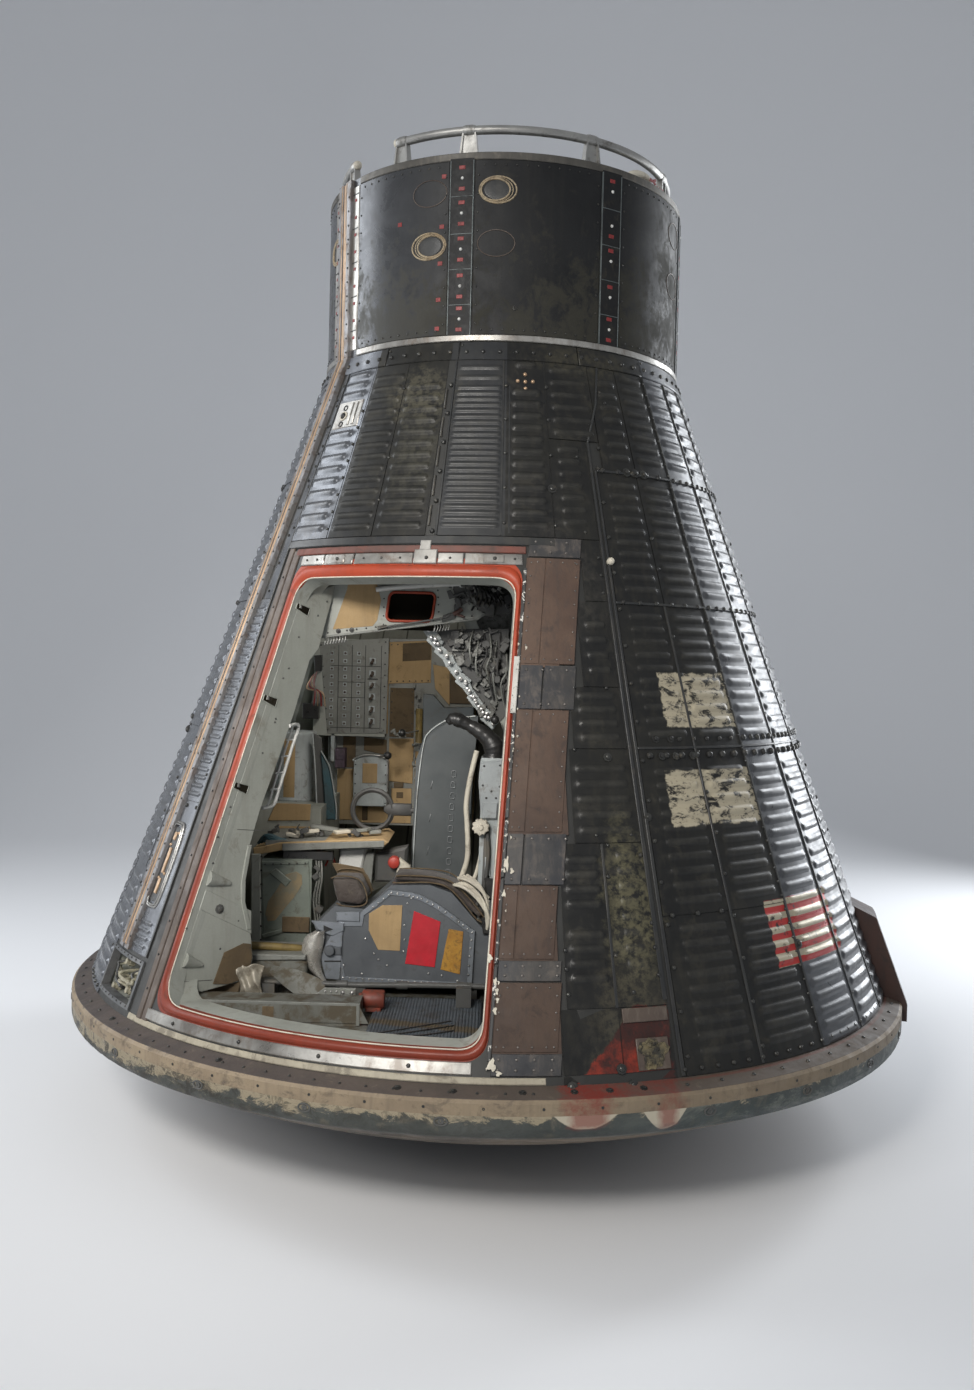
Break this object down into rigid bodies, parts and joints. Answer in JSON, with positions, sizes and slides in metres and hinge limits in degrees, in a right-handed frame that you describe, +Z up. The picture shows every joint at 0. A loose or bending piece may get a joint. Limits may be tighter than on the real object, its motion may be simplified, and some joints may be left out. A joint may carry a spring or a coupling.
{
  "type": "space capsule",
  "caption": "One-man blunt-body space capsule: dished heat shield, ribbed conical cabin with its side hatch missing, and a cylindrical parachute section with a top rail.",
  "frame": {"origin": "middle of the flat land at the lowest point of the heat shield", "axes": "+Z up along the capsule's axis towards the parachute section; the hatch faces -Y, a little towards -X"},
  "size_m": [1.8919, 1.8919, 2.1067],
  "materials": {
    "ablated_resin": "matte",
    "tan_band": "matte",
    "black_shingle": "satin",
    "frame_brown": "satin",
    "red_seal": "satin",
    "cabin_grey": "satin",
    "brown_plate": "matte",
    "strap_black": "satin",
    "raceway_metal": "satin",
    "bare_metal": "satin",
    "fairing_brown": "satin",
    "rail_steel": "satin",
    "window_pane": "gloss",
    "white_paint": "satin",
    "black_grip": "satin",
    "dark_rubber": "satin",
    "tan_board": "satin",
    "pad_leather": "matte",
    "mat_cloth": "matte",
    "red_paint": "satin"
  },
  "bodies": {
    "root": {"bay_frame": "bare_metal", "bay_panel": "black_shingle", "breathing_bottle": "tan_board", "cabin_floor": "cabin_grey", "circuit_panel": "tan_board", "cone_wall_left": "black_shingle", "cone_wall_rear_left": "black_shingle", "cone_wall_rear_right": "black_shingle", "cone_wall_right": "black_shingle", "cone_wall_upper": "black_shingle", "controller_base": "white_paint", "couch_shell": "cabin_grey", "cylinder_straps": "strap_black", "edge_plates": "brown_plate", "equipment_box": "cabin_grey", "equipment_shelf": "bare_metal", "floor_beam": "cabin_grey", "floor_mat": "mat_cloth", "floor_pipe": "rail_steel", "forward_bulkhead": "cabin_grey", "grey_cabinet": "cabin_grey", "hand_controller": "black_grip", "handrail": "white_paint", "hatch_frame": "frame_brown", "hatch_seal": "red_seal", "hatch_tunnel": "cabin_grey", "heat_shield": "ablated_resin", "inner_window_rim": "red_seal", "instrument_panel": "cabin_grey", "instrument_rack": "cabin_grey", "left_console": "cabin_grey", "leg_panel": "cabin_grey", "loop_handle": "dark_rubber", "parachute_canister": "bare_metal", "pipe_clamps": "bare_metal", "raceway_cone": "raceway_metal", "raceway_cylinder": "raceway_metal", "rail_brackets": "rail_steel", "recovery_cylinder": "black_shingle", "recovery_deck": "bare_metal", "relay_box": "red_paint", "seat_pads": "pad_leather", "seat_rails": "bare_metal", "seat_side_support": "cabin_grey", "shield_ring": "tan_band", "top_panel": "cabin_grey", "top_rail": "rail_steel", "top_rod": "white_paint", "umbilical_fairing": "fairing_brown", "window_frame": "bare_metal", "window_glass": "window_pane"}
  },
  "joints": []
}
